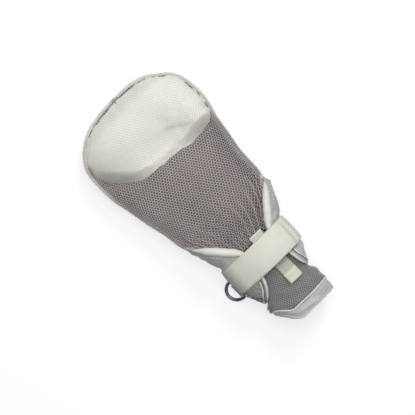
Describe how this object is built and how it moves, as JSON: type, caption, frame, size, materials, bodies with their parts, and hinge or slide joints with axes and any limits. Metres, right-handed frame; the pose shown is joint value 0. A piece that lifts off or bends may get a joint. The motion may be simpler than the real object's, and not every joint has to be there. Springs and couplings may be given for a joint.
{
  "type": "padded net-back hand mitt",
  "caption": "Padded hand-control mitt with a white palm and finger end, a see-through net back, padded wrist flaps, a wrist strap with a D-ring and a net cuff.",
  "frame": {"origin": "under the middle of the mitt's box, at the height of the surface that its palm rests on", "axes": "+Y from the wrist to the fingers, +X to the right when it is seen from above with the fingers up, +Z out of the back of the hand"},
  "size_m": [0.141, 0.2905, 0.0659],
  "materials": {
    "palm_cotton": "woven cotton",
    "foam": "soft foam",
    "grey_lining": "dark lining cloth",
    "cushion": "padded cotton",
    "net_thread": "open hexagonal net",
    "binding_tape": "folded cotton tape",
    "flap_cotton": "padded cotton",
    "hem_tape": "stitched hem",
    "webbing": "woven webbing",
    "hook_and_loop": "hook and loop tape",
    "thread": "dense stitching",
    "ring_steel": "dark nickel-plated wire"
  },
  "bodies": {
    "mitt": {"palm_cover": "palm_cotton", "palm_foam": "foam", "palm_lining": "grey_lining", "finger_end_pad": "cushion", "net_back": "net_thread", "edge_binding": "binding_tape", "flap_left": "flap_cotton", "flap_right": "flap_cotton", "flap_roll_left": "binding_tape", "flap_roll_right": "binding_tape", "cuff_net": "net_thread", "cuff_lining": "grey_lining", "cuff_hem": "hem_tape", "cuff_seam_tape": "hem_tape", "strap_base": "webbing", "loop_patch": "hook_and_loop", "locator_tab": "webbing", "ring_webbing": "webbing", "bartack_left": "thread", "bartack_right": "thread"},
    "strap_tail": {"strap_tail": "webbing", "hook_patch": "hook_and_loop", "strap_end_hem": "webbing"},
    "d_ring": {"d_ring": "ring_steel"}
  },
  "joints": [
    {"name": "strap_peel", "type": "hinge", "parent": "mitt", "child": "strap_tail", "pos_m": [-0.04082, -0.0715, 0.03384], "axis": [0, -1, 0], "range_deg": [0, 105]},
    {"name": "d_ring_swing", "type": "hinge", "parent": "mitt", "child": "d_ring", "pos_m": [-0.03959, -0.0815, 0.01045], "axis": [0, 1, 0], "range_deg": [-40, 60]}
  ]
}
